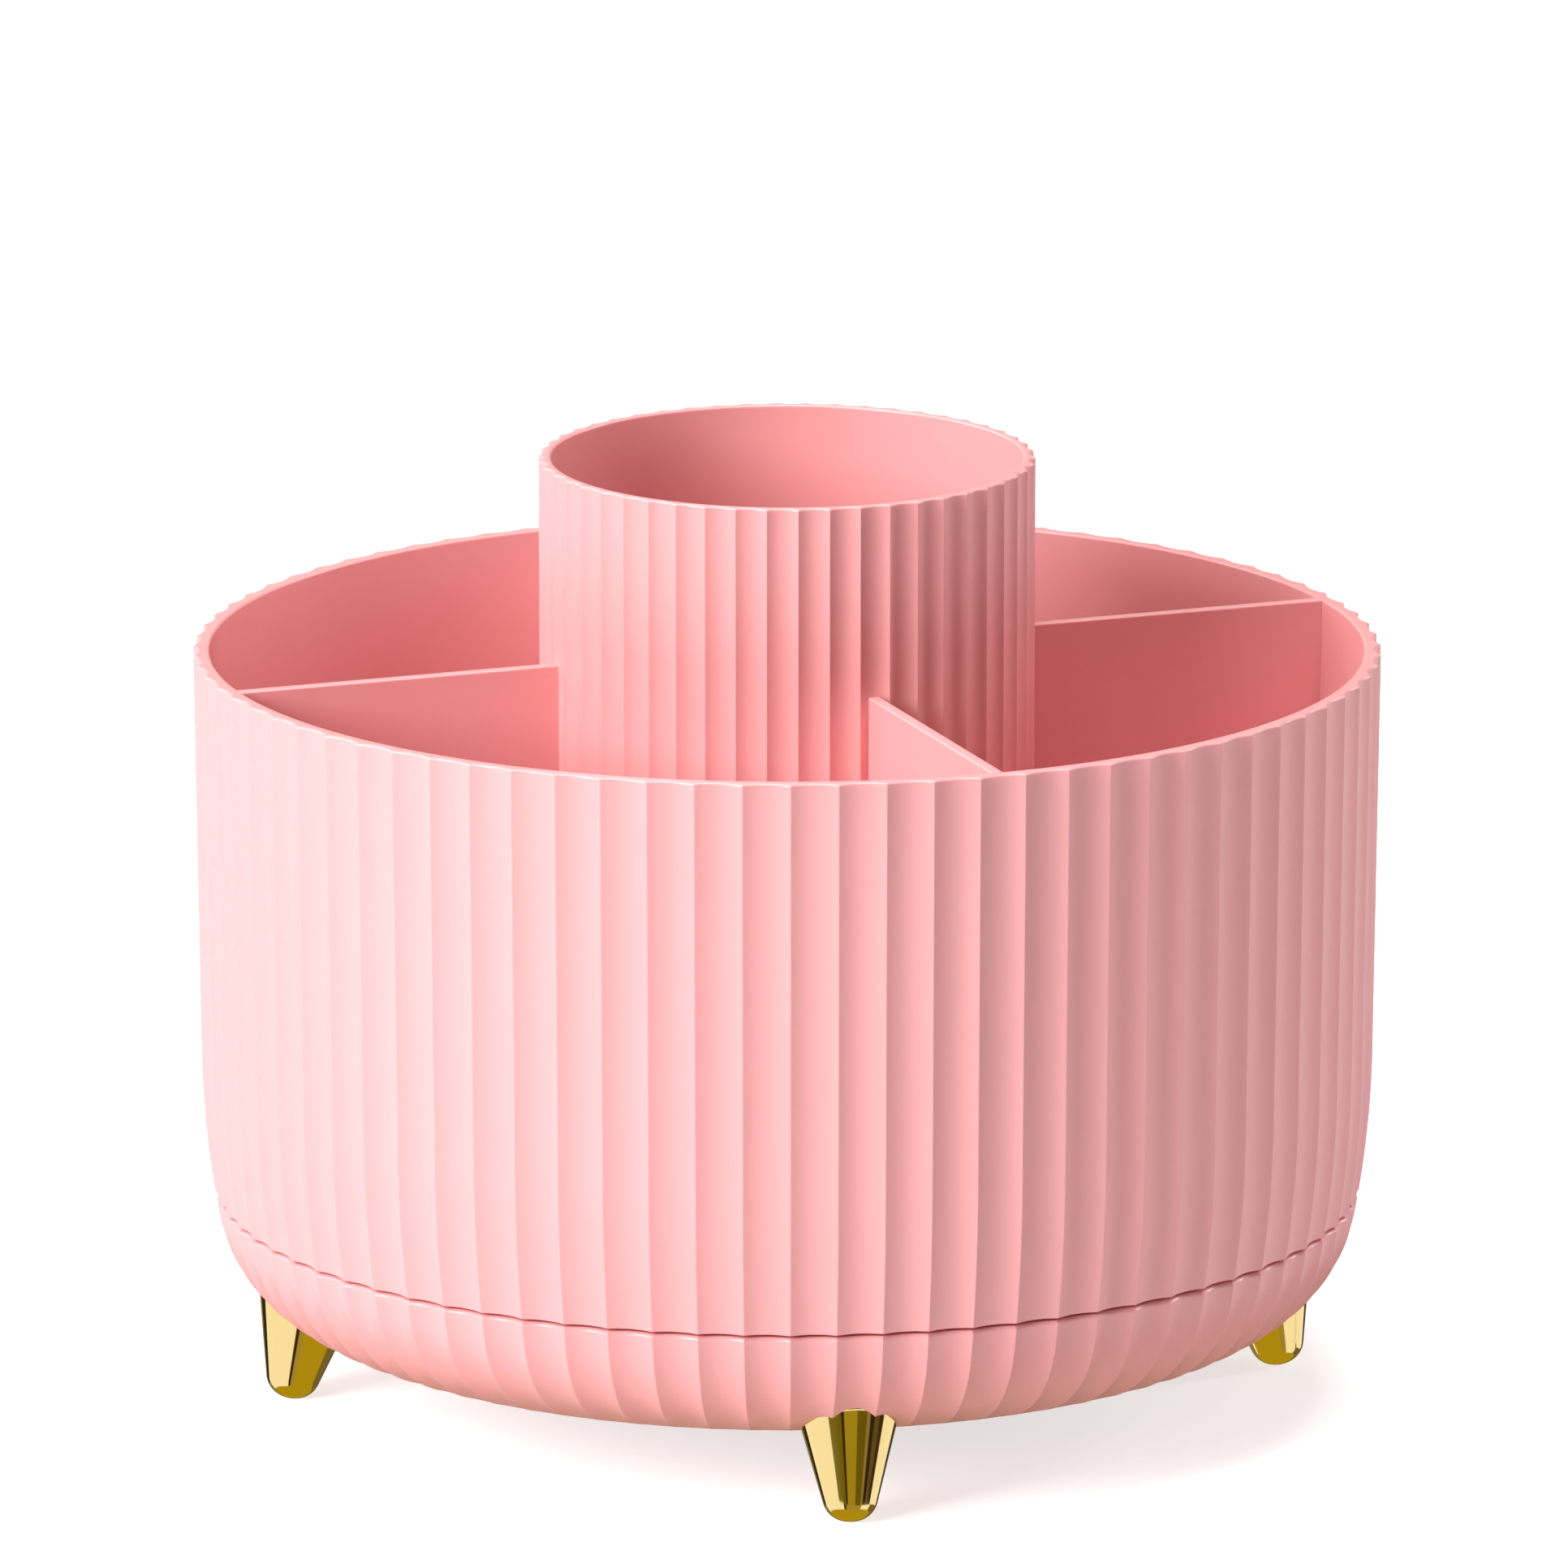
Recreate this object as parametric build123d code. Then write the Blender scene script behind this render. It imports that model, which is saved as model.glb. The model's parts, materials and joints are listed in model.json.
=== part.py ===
from build123d import *
import math
import os

# Rotating makeup brush holder. A fluted drum with a taller fluted cup and four radial dividers turns
# on a ball bearing above a fluted dish, which stands on four splayed feet. Sizes are in millimetres
# and degrees. The origin is on the turning axis at table level, +Z is up, and the dividers lie along
# X and Y.

# Outer form
drum_radius = 87.5  # ridge radius at the rim
rim_height = 112.5  # top of the outer rim above the table
wall_draft = 0.65  # inward lean of the straight wall
soft_curve_radius = 147.0  # the long curve on both sides of the seam
soft_curve_end = 10.5  # lean where the long curve meets the tight one
under_curve_radius = 18.7  # the tight curve under the dish
dish_clearance = 12.0  # flat bottom of the dish above the table
seam_height = 30.5
seam_gap = 0.4
seam_clearance = 0.4  # around the collar that closes the seam from inside

# Flutes
drum_flutes = 80
drum_flute_depth = 0.8
cup_flutes = 50
cup_flute_depth = 0.7
flute_fade_lean = 61.0  # the flutes begin to run out on the underside at this lean
flute_end_lean = 76.0  # and have gone at this one
curve_sections = 4  # spans of the fluted loft along the drum's long curve
under_sections = 8  # spans of the fluted loft under the dish

# Walls and floors
rim_bevel = 0.35  # on both top edges of the drum and of the cup
drum_wall = 2.5
drum_floor = 2.4
skirt_depth = 1.9  # drum wall below its floor
floor_corner = 2.0  # inside corner between the drum floor and its wall
dish_wall = 2.5
collar_wall = 1.6
collar_root = 4.0  # depth of the collar's root below the dish edge

# Cup
cup_radius = 36.5
cup_height = 141.0  # top of the cup above the table
cup_wall = 1.8
cup_floor = 2.4
cup_foot_depth = 4.0  # hollow under the cup's raised floor
cup_boss_circle = 24.0

# Dividers
divider_count = 4
divider_thickness = 1.8
divider_top_round = 0.3
groove_depth = 0.6  # in the drum's wall and floor
cup_groove_depth = 0.3
groove_clearance = 0.08  # on each side of a divider in its groove

# Feet
foot_count = 4
drum_turn = 13.5  # the drum at rest is turned by three flutes from the feet
foot_inset = 13.0  # where the feet's axes meet the table, in from the drum's ridge radius
foot_splay = 11.1
foot_taper = 15.0
foot_tip_radius = 3.25
foot_tip_round = 3.6
foot_tip_sink = 0.1  # tip below the table before it is cut flat to stand on
foot_cone_length = 22.0
foot_boss_radius = 5.0
foot_boss_top = 19.5  # along the foot's own axis from the table
foot_boss_root = 14.0

# Screws
screw_radius = 1.5
screw_head_radius = 2.8
screw_head_height = 1.8
screw_length = 6.0
race_screw_length = 8.0
foot_screw_length = 13.0
screw_count = 4  # in each pattern of screws about the axis
screw_angle = 45.0  # first screw of a pattern, midway between two dividers
head_round_share = 0.55  # of the head's height
cross_length_share = 1.1  # cross recess, of the head's radius
cross_width_share = 0.28  # of the head's radius
cross_depth_share = 0.6  # of the head's height
tip_chamfer_share = 0.4  # of the screw's radius
thread_clearance = 0.05
pass_clearance = 0.2
pilot_extra = 0.8  # pilot hole beyond the screw's tip
boss_radius = 3.6

# Ball bearing
ball_radius = 2.5
ball_count = 16
ball_circle = 42.0
ball_height = 22.5  # ball centres above the table
ball_clearance = 0.06
pocket_clearance = 0.15
race_face_gap = 1.2  # from the ball centres to each race's face
race_thickness = 3.0
race_inner_margin = 5.0  # race width on the side away from its screws
race_outer_margin = 15.0  # race width on the side of its screws
race_screw_offset = 10.0
cage_thickness = 1.6
cage_width = 8.0

# Centre pivot
spindle_radius = 5.0
spindle_chamfer = 0.5
spindle_flange_radius = 13.0
spindle_flange = 2.0
spindle_screw_circle = 9.5
spindle_boss_height = 3.0
pivot_clearance = 0.05
bush_wall = 1.95
bush_flange = 1.5
bush_flange_radius = 9.5
bush_seat_clearance = 0.02
hub_radius = 9.5
hub_top = 24.0
recess_radius = 12.0
recess_depth = 5.0
recess_wall = 2.5
retainer_gap = 0.4
washer_radius = 10.0
washer_thickness = 1.2
centre_screw_radius = 2.0
centre_head_radius = 4.0
centre_head_height = 2.2
centre_screw_length = 9.0

flat_tolerance = 0.01


def sind(angle):
    return math.sin(math.radians(angle))


def cosd(angle):
    return math.cos(math.radians(angle))


def tand(angle):
    return math.tan(math.radians(angle))


# Levels that follow from the sizes above
drum_bottom = seam_height + seam_gap / 2
dish_top = seam_height - seam_gap / 2
floor_low = drum_bottom + skirt_depth
floor_high = floor_low + drum_floor
cup_floor_low = floor_high + cup_foot_depth
cup_floor_high = cup_floor_low + cup_floor
dish_floor_high = dish_clearance + dish_wall
upper_race_low = ball_height + race_face_gap
upper_race_high = upper_race_low + race_thickness
lower_race_high = ball_height - race_face_gap
lower_race_low = lower_race_high - race_thickness
upper_screw_circle = ball_circle + race_screw_offset
lower_screw_circle = ball_circle - race_screw_offset
recess_top = dish_clearance + recess_depth
spindle_end = recess_top - retainer_gap
bush_radius = spindle_radius + pivot_clearance + bush_wall
foot_circle = drum_radius - foot_inset
pilot_radius = screw_radius + thread_clearance
pass_radius = screw_radius + pass_clearance
cup_groove_radius = cup_radius - cup_flute_depth - cup_groove_depth
groove_width = divider_thickness + 2 * groove_clearance

# Centres of the side profile's two curves, as radius and height
under_centre_z = dish_clearance + under_curve_radius
curve_join_z = under_centre_z - under_curve_radius * sind(soft_curve_end)
soft_centre_z = curve_join_z + soft_curve_radius * sind(soft_curve_end)
wall_end_z = soft_centre_z - soft_curve_radius * sind(wall_draft)
wall_end_radius = drum_radius - (rim_height - wall_end_z) * tand(wall_draft)
soft_centre_r = wall_end_radius - soft_curve_radius * cosd(wall_draft)
under_centre_r = soft_centre_r + (soft_curve_radius - under_curve_radius) * cosd(soft_curve_end)


def profile_joins(inset):
    """Heights where the tight curve, the long curve and the straight wall meet on the inset profile."""
    radius = soft_curve_radius - inset
    return soft_centre_z - radius * sind(soft_curve_end), soft_centre_z - radius * sind(wall_draft)


def side_radius(height, inset=0.0):
    """Radius of the side profile, set in by a wall thickness, at a height."""
    soft = soft_curve_radius - inset
    curve_join, wall_end = profile_joins(inset)
    if height >= wall_end:
        return soft_centre_r + soft * cosd(wall_draft) + (height - wall_end) * tand(wall_draft)
    if height >= curve_join:
        return soft_centre_r + math.sqrt(soft**2 - (soft_centre_z - height) ** 2)
    return under_centre_r + math.sqrt((under_curve_radius - inset) ** 2 - (under_centre_z - height) ** 2)


def polar(radius, angle, height):
    return Vector(radius * cosd(angle), radius * sind(angle), height)


def side_edges(inset, low, high):
    """The inset side profile between two heights, as exact arcs and a line in the XZ plane."""
    joins = [height for height in profile_joins(inset) if low < height < high]
    heights = [low, *joins, high]
    edges = []
    for start, end in zip(heights, heights[1:]):
        points = [Vector(side_radius(h, inset), 0, h) for h in (start, (start + end) / 2, end)]
        if start >= profile_joins(inset)[1]:
            edges.append(Edge.make_line(points[0], points[2]))
        else:
            edges.append(Edge.make_three_point_arc(*points))
    return edges


def turned(edges):
    """A solid of revolution about Z from the edges of a closed profile in the XZ plane."""
    return Solid.revolve(Face(Wire(edges)), 360, Axis.Z)


def space_inside(inset, low, high, inner=0.0):
    """The turned space between an inner radius and the inset side profile."""
    corners = [
        Vector(side_radius(high, inset), 0, high),
        Vector(inner, 0, high),
        Vector(inner, 0, low),
        Vector(side_radius(low, inset), 0, low),
    ]
    lines = [Edge.make_line(a, b) for a, b in zip(corners, corners[1:])]
    return turned(side_edges(inset, low, high) + lines)


def rod(radius, low, high):
    return Pos(0, 0, low) * Cylinder(radius, high - low, align=(Align.CENTER, Align.CENTER, Align.MIN))


def ring(outer, inner, low, high):
    return rod(outer, low, high) - rod(inner, low, high)


def on_circle(count, radius, first_angle):
    """Places evenly spaced on a circle about Z, each turned to face outwards."""
    return [Rot(0, 0, first_angle + k * 360 / count) * Pos(radius, 0, 0) for k in range(count)]


def placed(places, shape):
    return [place * shape for place in places]


def fluted_wire(count, radius, height, depth, first_ridge, lean=0.0):
    """A closed ring of concave scallops that meet in ridges; the lean tilts their depth."""
    pitch = 360 / count
    valley_radius = radius - depth * cosd(lean)
    valley_height = height + depth * sind(lean)
    edges = []
    for k in range(count):
        angle = first_ridge + k * pitch
        start = polar(radius, angle, height)
        valley = polar(valley_radius, angle + pitch / 2, valley_height)
        end = polar(radius, angle + pitch, height)
        edges.append(Edge.make_three_point_arc(start, valley, end))
    return Wire(edges)


def steps(start, end, count):
    return [start + (end - start) * k / count for k in range(count + 1)]


def drum_outside():
    """The drum's fluted outside as a full solid, with a bevel at the rim."""
    wall_end = profile_joins(0)[1]
    bevel_low = rim_height - rim_bevel

    def section(radius, height):
        return fluted_wire(drum_flutes, radius, height, drum_flute_depth, 180 / drum_flutes)

    heights = steps(drum_bottom, wall_end, curve_sections)
    curved = [section(side_radius(height), height) for height in heights]
    straight = [
        section(side_radius(wall_end), wall_end),
        section(side_radius(bevel_low), bevel_low),
        section(drum_radius - rim_bevel, rim_height),
    ]
    return Solid.make_loft(curved) + Solid.make_loft(straight, ruled=True)


def cup_outside():
    """The cup's fluted outside as a full solid, with a bevel at the top."""

    def section(radius, height):
        return fluted_wire(cup_flutes, radius, height, cup_flute_depth, 0)

    upright = [section(cup_radius, floor_high), section(cup_radius, cup_height - rim_bevel)]
    return Solid.make_loft([*upright, section(cup_radius - rim_bevel, cup_height)], ruled=True)


def dish_outside():
    """The dish's fluted outside as a full solid; the flutes run out where it turns under."""
    first_ridge = 180 / drum_flutes - drum_turn
    leans = steps(soft_curve_end, 90, under_sections)
    wires = [fluted_wire(drum_flutes, side_radius(dish_top), dish_top, drum_flute_depth, first_ridge)]
    for lean in leans:
        radius = under_centre_r + under_curve_radius * cosd(lean)
        height = under_centre_z - under_curve_radius * sind(lean)
        fade = (flute_end_lean - lean) / (flute_end_lean - flute_fade_lean)
        depth = drum_flute_depth * min(1.0, max(0.0, fade)) * radius / drum_radius
        wires.append(fluted_wire(drum_flutes, radius, height, depth, first_ridge, lean))
    return Solid.make_loft(wires)


def circles_at(shape, height):
    """The circular edges of a shape that lie flat at a height."""

    def lies_there(edge):
        box = edge.bounding_box()
        return max(abs(box.min.Z - height), abs(box.max.Z - height)) < flat_tolerance

    return shape.edges().filter_by(GeomType.CIRCLE).filter_by(lies_there)


def divider_slabs(thickness, low, high):
    """Upright slabs from the axis outwards, one for each divider."""
    reach = 2 * drum_radius
    slab = Box(reach, thickness, high - low, align=(Align.MIN, Align.CENTER, Align.MIN))
    return placed(on_circle(divider_count, 0, 0), Pos(0, 0, low) * slab)


def screw(radius, length, head_radius, head_height):
    """A pan head screw with a cross recess: head above the origin, shank below it."""
    head = rod(head_radius, 0, head_height)
    head = fillet(circles_at(head, head_height), head_height * head_round_share)
    shank = rod(radius, -length, 0)
    shank = chamfer(circles_at(shank, -length), radius * tip_chamfer_share)
    length_across = head_radius * cross_length_share
    slot_width = head_radius * cross_width_share
    slot_depth = head_height * cross_depth_share
    slot = Box(length_across, slot_width, slot_depth, align=(Align.CENTER, Align.CENTER, Align.MAX))
    cross = Pos(0, 0, head_height) * (slot + Rot(0, 0, 90) * slot)
    return head + shank - cross


def small_screw(length):
    return screw(screw_radius, length, screw_head_radius, screw_head_height)


def from_below(places, height, shape):
    """Copies of a shape turned head down, with the head's seat at a height."""
    return placed(places, Pos(0, 0, height) * Rot(180, 0, 0) * shape)


def cup_screw_places():
    return on_circle(screw_count, cup_boss_circle, screw_angle)


def spindle_screw_places():
    return on_circle(screw_count, spindle_screw_circle, screw_angle)


def upper_screw_places():
    return on_circle(screw_count, upper_screw_circle, screw_angle)


def lower_screw_places():
    return on_circle(screw_count, lower_screw_circle, screw_angle - drum_turn)


def foot_places():
    """The four foot frames: origin at the tip on the table, Z up along the foot's own axis."""
    return [place * Rot(0, -foot_splay, 0) for place in on_circle(foot_count, foot_circle, -drum_turn)]


def bevel_cut(radius, height):
    """What the bevel takes off the inner edge of a rim."""
    align = (Align.CENTER, Align.CENTER, Align.MAX)
    return Pos(0, 0, height) * Cone(radius, radius + rim_bevel, rim_bevel, align=align)


def make_drum():
    cavity = space_inside(drum_wall, floor_high, rim_height)
    cavity = fillet(circles_at(cavity, floor_high), floor_corner)
    spindle_boss = rod(boss_radius, floor_high, floor_high + spindle_boss_height)
    cavity -= placed(spindle_screw_places(), spindle_boss)
    race_pilot = rod(pilot_radius, upper_race_high, upper_race_low + race_screw_length + pilot_extra)
    spindle_pilot = rod(pilot_radius, floor_low, floor_low - spindle_flange + screw_length + pilot_extra)
    cuts = [cavity, space_inside(drum_wall, drum_bottom, floor_low)]
    cuts += [bevel_cut(side_radius(rim_height - rim_bevel, drum_wall), rim_height)]
    cuts += placed(upper_screw_places(), race_pilot)
    cuts += placed(spindle_screw_places(), spindle_pilot)
    cuts += placed(cup_screw_places(), rod(pass_radius, floor_low, floor_high))
    groove_low = floor_high - groove_depth
    room = space_inside(drum_wall - groove_depth, groove_low, rim_height, cup_groove_radius)
    cuts += [slab & room for slab in divider_slabs(groove_width, groove_low, rim_height)]
    race_boss = rod(boss_radius, upper_race_high, floor_low) - race_pilot
    return drum_outside() - cuts + placed(upper_screw_places(), race_boss)


def make_cup():
    bore = cup_radius - cup_wall
    boss = rod(boss_radius, floor_high, cup_floor_low)
    hollow = rod(bore, floor_high, cup_floor_low) - placed(cup_screw_places(), boss)
    pilot = rod(pilot_radius, floor_high, floor_low + screw_length + pilot_extra)
    cuts = [hollow, rod(bore, cup_floor_high, cup_height), bevel_cut(bore, cup_height)]
    cuts += placed(cup_screw_places(), pilot)
    groove_high = rim_height + groove_clearance
    room = ring(cup_radius + groove_depth, cup_groove_radius, floor_high, groove_high)
    cuts += [slab & room for slab in divider_slabs(groove_width, floor_high, groove_high)]
    return cup_outside() - cuts


def make_dividers():
    low = floor_high - groove_depth
    inset = drum_wall - groove_depth + groove_clearance
    room = space_inside(inset, low, rim_height, cup_groove_radius + groove_clearance)
    panels = []
    for slab in divider_slabs(divider_thickness, low, rim_height):
        panel = slab & room
        top_edges = panel.faces().sort_by(Axis.Z)[-1].edges().filter_by(GeomType.LINE)
        panels.append(fillet(top_edges, divider_top_round))
    return panels


def make_dish(outside):
    pilot_low = lower_race_high - screw_length - pilot_extra
    kept = [
        rod(recess_radius + recess_wall, dish_floor_high, recess_top + recess_wall),
        rod(hub_radius, dish_floor_high, hub_top),
        *placed(lower_screw_places(), rod(boss_radius, dish_floor_high, lower_race_low)),
        *placed(foot_places(), rod(foot_boss_radius, foot_boss_root, foot_boss_top)),
    ]
    cuts = [
        space_inside(dish_wall, dish_floor_high, dish_top) - kept,
        rod(recess_radius, dish_clearance, recess_top),
        rod(bush_radius + bush_seat_clearance, recess_top, hub_top),
        *placed(lower_screw_places(), rod(pilot_radius, pilot_low, lower_race_low)),
        *placed(foot_places(), rod(pass_radius, 0, foot_boss_top)),
    ]
    collar_outer = side_radius(drum_bottom, drum_wall) - seam_clearance
    collar_inner = collar_outer - collar_wall
    collar_low = dish_top - collar_root
    collar = ring(collar_outer, collar_inner, collar_low, floor_low - seam_clearance)
    collar += ring(side_radius(collar_low, dish_wall / 2), collar_inner, collar_low, dish_top)
    return outside - cuts + collar


def make_feet(outside):
    """Splayed cones with rounded tips, each cut to lie against the fluted dish."""
    top_radius = foot_tip_radius + foot_cone_length * tand(foot_taper)
    end_radius = foot_tip_radius - foot_tip_sink * tand(foot_taper)
    height = foot_cone_length + foot_tip_sink
    align = (Align.CENTER, Align.CENTER, Align.MIN)
    cone = Pos(0, 0, -foot_tip_sink) * Cone(end_radius, top_radius, height, align=align)
    cone = fillet(circles_at(cone, -foot_tip_sink), foot_tip_round)
    cone -= rod(pilot_radius, foot_boss_top - foot_screw_length - pilot_extra, foot_cone_length)
    table = Pos(0, 0, -foot_cone_length) * Box(4 * drum_radius, 4 * drum_radius, 2 * foot_cone_length)
    return [foot - table - outside for foot in placed(foot_places(), cone)]


def make_foot_screws():
    return placed(foot_places(), Pos(0, 0, foot_boss_top) * small_screw(foot_screw_length))


def make_race(inner, outer, low, screw_places):
    body = ring(outer, inner, low, low + race_thickness)
    body -= Pos(0, 0, ball_height) * Torus(ball_circle, ball_radius + ball_clearance)
    body -= placed(screw_places, rod(pass_radius, low, low + race_thickness))
    return body


def ball_places():
    return placed(on_circle(ball_count, ball_circle, 0), Pos(0, 0, ball_height))


def make_cage():
    low = ball_height - cage_thickness / 2
    body = ring(ball_circle + cage_width / 2, ball_circle - cage_width / 2, low, low + cage_thickness)
    pocket = rod(ball_radius + pocket_clearance, low, low + cage_thickness)
    body -= placed(on_circle(ball_count, ball_circle, 0), pocket)
    return body


def make_spindle():
    body = rod(spindle_radius, spindle_end, floor_low)
    body = chamfer(circles_at(body, spindle_end), spindle_chamfer)
    flange_low = floor_low - spindle_flange
    body += rod(spindle_flange_radius, flange_low, floor_low)
    body -= placed(spindle_screw_places(), rod(pass_radius, flange_low, floor_low))
    thread_high = spindle_end - washer_thickness + centre_screw_length + pilot_extra
    body -= rod(centre_screw_radius + thread_clearance, spindle_end, thread_high)
    return body


def make_bush():
    body = rod(bush_radius, recess_top, hub_top) + rod(bush_flange_radius, hub_top, hub_top + bush_flange)
    return body - rod(spindle_radius + pivot_clearance, recess_top, hub_top + bush_flange)


def make_washer():
    hole = centre_screw_radius + pass_clearance
    return ring(washer_radius, hole, spindle_end - washer_thickness, spindle_end)


def make_centre_screw():
    body = screw(centre_screw_radius, centre_screw_length, centre_head_radius, centre_head_height)
    return Pos(0, 0, spindle_end - washer_thickness) * Rot(180, 0, 0) * body


def save(name, shapes):
    """One STEP file for a node: a single solid, or a group of separate solids."""
    solids = shapes if isinstance(shapes, list) else [shapes]
    solids = [solid for shape in solids for solid in shape.solids()]
    export_step(solids[0] if len(solids) == 1 else Compound(children=solids), f"parts/{name}.step")


def main():
    os.makedirs("parts", exist_ok=True)
    outside = dish_outside()
    flange_low = floor_low - spindle_flange
    upper_inner = ball_circle - race_inner_margin
    upper_outer = ball_circle + race_outer_margin
    lower_inner = ball_circle - race_outer_margin
    lower_outer = ball_circle + race_inner_margin

    save("drum", make_drum())
    save("centre_cup", make_cup())
    divider_names = ["back_right", "back_left", "front_left", "front_right"]
    for name, panel in zip(divider_names, make_dividers()):
        save(f"divider_{name}", panel)
    save("cup_screws", from_below(cup_screw_places(), floor_low, small_screw(screw_length)))
    save("upper_race", make_race(upper_inner, upper_outer, upper_race_low, upper_screw_places()))
    race_screw = small_screw(race_screw_length)
    save("upper_race_screws", from_below(upper_screw_places(), upper_race_low, race_screw))
    save("spindle", make_spindle())
    save("spindle_screws", from_below(spindle_screw_places(), flange_low, small_screw(screw_length)))
    save("retaining_washer", make_washer())
    save("centre_screw", make_centre_screw())

    save("ball_cage", make_cage())
    save("bearing_balls", placed(ball_places(), Sphere(ball_radius)))

    save("base_dish", make_dish(outside))
    for name, foot in zip(["right", "back", "left", "front"], make_feet(outside)):
        save(f"foot_{name}", foot)
    save("foot_screws", make_foot_screws())
    save("lower_race", make_race(lower_inner, lower_outer, lower_race_low, lower_screw_places()))
    lower_screw = Pos(0, 0, lower_race_high) * small_screw(screw_length)
    save("lower_race_screws", placed(lower_screw_places(), lower_screw))
    save("pivot_bush", make_bush())


main()
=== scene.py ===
import json
import math

import bpy
import numpy as np
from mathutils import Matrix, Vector


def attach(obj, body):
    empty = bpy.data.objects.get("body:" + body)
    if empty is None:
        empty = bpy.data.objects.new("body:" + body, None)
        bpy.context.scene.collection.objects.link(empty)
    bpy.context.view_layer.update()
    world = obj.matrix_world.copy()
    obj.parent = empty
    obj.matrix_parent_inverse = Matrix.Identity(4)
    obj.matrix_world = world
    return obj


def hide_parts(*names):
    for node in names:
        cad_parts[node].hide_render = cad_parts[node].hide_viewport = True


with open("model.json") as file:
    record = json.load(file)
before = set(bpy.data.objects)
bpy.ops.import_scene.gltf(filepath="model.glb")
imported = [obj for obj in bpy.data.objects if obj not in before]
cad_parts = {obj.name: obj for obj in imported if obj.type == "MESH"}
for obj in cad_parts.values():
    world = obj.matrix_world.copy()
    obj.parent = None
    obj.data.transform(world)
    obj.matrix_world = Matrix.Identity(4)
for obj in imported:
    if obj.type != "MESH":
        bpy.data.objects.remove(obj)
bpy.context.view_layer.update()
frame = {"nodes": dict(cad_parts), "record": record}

# Rotating makeup brush holder: a satin pink fluted drum and cup above a fluted dish on gold feet.
# Sizes are in millimetres and degrees here, and become metres where a mesh is made.

# Side profile of the drum and the dish, the same curves as in the frame's solids
DRUM_RADIUS = 87.5
RIM_HEIGHT = 112.5
WALL_DRAFT = 0.65
SOFT_CURVE_RADIUS = 147.0
SOFT_CURVE_END = 10.5
UNDER_CURVE_RADIUS = 18.7
DISH_CLEARANCE = 12.0
DRUM_BOTTOM = 30.7
DISH_TOP = 30.3
SHELL_WALL = 2.5
CUP_WALL = 1.8
FLOOR_LOW = 32.6
FLOOR_HIGH = 35.0
FLOOR_CORNER = 2.0
SKIRT_CHAMFER = 0.2
DRUM_FLOOR_RINGS = [60, 36, 18]  # radii of the rows that divide its flat floor

# Flutes and rounded edges
DRUM_FLUTES = 80
DRUM_FLUTE_DEPTH = 0.8
CUP_FLUTES = 50
CUP_FLUTE_DEPTH = 0.7
RIDGE_ROUND = 0.035  # share of the flute depth that the ridge loses
FADE_LEAN = 61.0  # the flutes begin to run out under the dish at this lean
FADE_END = 76.0  # and have gone at this one
RIM_ROUND = 0.35
DRUM_EDGE_ROUND = 0.25  # just above the seam
DISH_EDGE_ROUND = 0.65  # just below it
SUPPORT = 0.12  # a row this far from a rounding keeps the face beside it flat
FLUTE_SAMPLES = (0, 0.01, 0.03, 0.08, 0.16, 0.27, 0.385, 0.5, 0.615, 0.73, 0.84, 0.92, 0.97, 0.99)

# Cup
CUP_RADIUS = 36.5
CUP_HEIGHT = 141.0
CUP_FLOOR_LOW = 39.0
CUP_FLOOR_HIGH = 41.4
CUP_FLOOR_RINGS = [20, 8]

# Dish inside and below
COLLAR_OUTER = 82.0
COLLAR_WALL = 1.6
COLLAR_TOP = 32.2
COLLAR_CHAMFER = 0.3
COLLAR_FOOT = 26.0
WALL_INSIDE_TOP = 25.0
INNER_CHAMFER = 0.4
HUB_RADIUS = 9.5
HUB_TOP = 24.0
RECESS_RADIUS = 12.0
RECESS_TOP = 17.0
RECESS_CHAMFER = 0.3
BORE_RADIUS = 7.02
BOTTOM_RINGS = [30, 50]  # radii of the rows that divide its flat bottom
DRUM_TURN = 13.5  # the dish's flutes and feet are turned back by this from the drum's

# Screw bosses, four on a circle
BOSS_RADIUS = 3.6
BOSS_ROUND = 0.3
BOSS_SINK = 0.1  # how far a boss goes into the wall it stands on
BOSS_ANGLE = 45.0
BOSS_COLUMNS = 32
PILOT_RADIUS = 1.55
UPPER_BOSS_CIRCLE = 52.0
UPPER_BOSS_LOW = 26.7
FLANGE_BOSS_CIRCLE = 9.5
FLANGE_BOSS_TOP = 38.0
CUP_BOSS_CIRCLE = 24.0
LOWER_BOSS_CIRCLE = 32.0
LOWER_BOSS_TOP = 18.3

# Feet
FOOT_ANGLES = {"right": -13.5, "back": 76.5, "left": 166.5, "front": 256.5}
FOOT_CIRCLE = 74.5
FOOT_SPLAY = 11.1
FOOT_TAPER = 15.0
FOOT_TIP_RADIUS = 3.25
FOOT_TIP_ROUND = 3.6
FOOT_TIP_SINK = 0.1
FOOT_SEAT = 1.2  # how far the top of a foot goes into the dish wall
FOOT_COLUMNS = 128
FOOT_TIP_ROWS = 16
FOOT_SIDE_ROWS = 14
FOOT_SHORTEST = 4.0  # the lines up its side end between these two
FOOT_LONGEST = 26.0
HALVINGS = 40

# Camera, fitted to the circles of the rims, the seam and the feet
CAMERA_AZIMUTH = 249.41
CAMERA_DISTANCE = 2100.0
CAMERA_HEIGHT = 605.0
AIM_HEIGHT = 91.3
AIM_SIDE = -0.44
FOCAL_PIXELS = 18040.0
IMAGE_PIXELS = 1932.0
SENSOR = 36.0
CLIP_NEAR = 0.05  # in metres, and so is the next
CLIP_FAR = 20.0

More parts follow.
